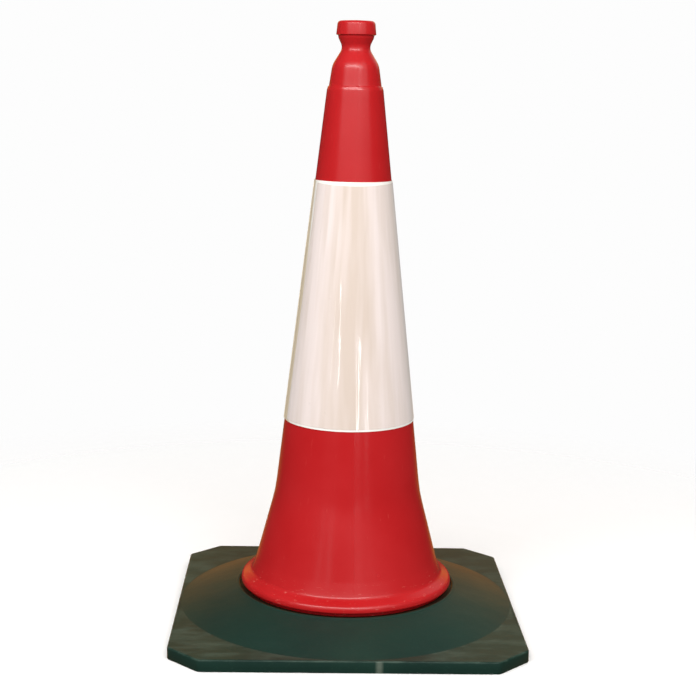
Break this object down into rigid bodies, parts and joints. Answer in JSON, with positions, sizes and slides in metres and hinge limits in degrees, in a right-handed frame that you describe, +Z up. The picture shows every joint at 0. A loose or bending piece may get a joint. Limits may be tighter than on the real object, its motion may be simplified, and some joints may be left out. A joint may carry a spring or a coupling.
{
  "type": "traffic cone",
  "caption": "Tall hollow road cone with a grip knob and flared skirt, plugged into a heavy square base with cut corners, and wrapped by a wide reflective sleeve.",
  "frame": {"origin": "on the ground under the middle of the square base, on the cone's axis", "axes": "+Z up along the cone's axis; +X and +Y square to the sides of the base, -Y to the front"},
  "size_m": [0.43, 0.43, 0.75],
  "materials": {
    "base_rubber": "moulded recycled rubber, black-green, satin and lightly scuffed",
    "cone_plastic": "blow-moulded polyethylene, signal red, semi-gloss",
    "sleeve_backing": "soft white PVC sheet, satin",
    "reflective_film": "retroreflective film, pearly off-white under a clear glossy face"
  },
  "bodies": {
    "base": {"base": "base_rubber"},
    "cone": {"cone_body": "cone_plastic"},
    "sleeve": {"sleeve_backing": "sleeve_backing", "reflective_film": "reflective_film"}
  },
  "joints": [
    {"name": "cone_lift", "type": "slide", "parent": "base", "child": "cone", "axis": [0, 0, 1], "range_m": [0, 0.1]},
    {"name": "sleeve_slide", "type": "slide", "parent": "cone", "child": "sleeve", "axis": [0, 0, 1], "range_m": [0, 0.52]}
  ]
}
